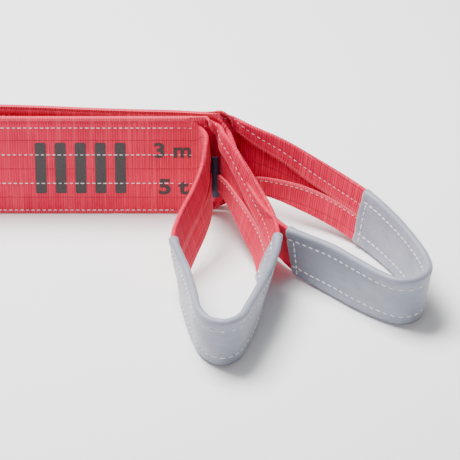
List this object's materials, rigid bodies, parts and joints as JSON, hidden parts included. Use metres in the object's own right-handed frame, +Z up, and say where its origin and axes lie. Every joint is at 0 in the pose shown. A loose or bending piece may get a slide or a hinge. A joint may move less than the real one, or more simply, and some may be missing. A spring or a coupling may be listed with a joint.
{
  "type": "flat web sling",
  "caption": "Duplex flat webbing lifting sling with two soft eyes in wear sleeves, folded once so that both eyes lie at one end.",
  "frame": {"origin": "middle of the footprint, on the surface that the sling stands on", "axes": "+X along the body towards the eyes, +Z up across the width of the webbing"},
  "size_m": [1.4278, 0.4452, 0.15],
  "materials": {
    "red_webbing": "woven polyester webbing, slight sheen",
    "grey_sleeve": "smooth coated fabric",
    "white_thread": "twisted polyester thread",
    "blue_label": "woven label cloth"
  },
  "bodies": {
    "front_run": {"front_run_inner_ply": "red_webbing", "front_run_outer_ply": "red_webbing", "front_run_stitch_rows": "white_thread"},
    "rear_run": {"rear_run_inner_ply": "red_webbing", "rear_run_outer_ply": "red_webbing", "rear_run_stitch_rows": "white_thread"},
    "front_eye": {"front_eye_root": "red_webbing", "front_eye_inner_leg": "red_webbing", "front_eye_outer_leg": "red_webbing", "front_eye_web_loop": "red_webbing", "front_eye_sleeve": "grey_sleeve", "front_eye_sleeve_seams": "white_thread", "identification_label": "blue_label"},
    "rear_eye": {"rear_eye_root": "red_webbing", "rear_eye_inner_leg": "red_webbing", "rear_eye_outer_leg": "red_webbing", "rear_eye_web_loop": "red_webbing", "rear_eye_sleeve": "grey_sleeve", "rear_eye_sleeve_seams": "white_thread"}
  },
  "joints": [
    {"name": "front_eye_swing", "type": "hinge", "parent": "front_run", "child": "front_eye", "pos_m": [0.4178, 0.16227, 0.075], "axis": [0, 0, 1], "range_deg": [-60, 0]},
    {"name": "fold_opening", "type": "hinge", "parent": "front_run", "child": "rear_run", "pos_m": [-0.7135, 0.18667, 0.075], "axis": [0, 0, 1], "range_deg": [0, 175]},
    {"name": "rear_eye_swing", "type": "hinge", "parent": "rear_run", "child": "rear_eye", "pos_m": [0.44584, 0.18487, 0.075], "axis": [0, 0, 1], "range_deg": [0, 70]}
  ]
}
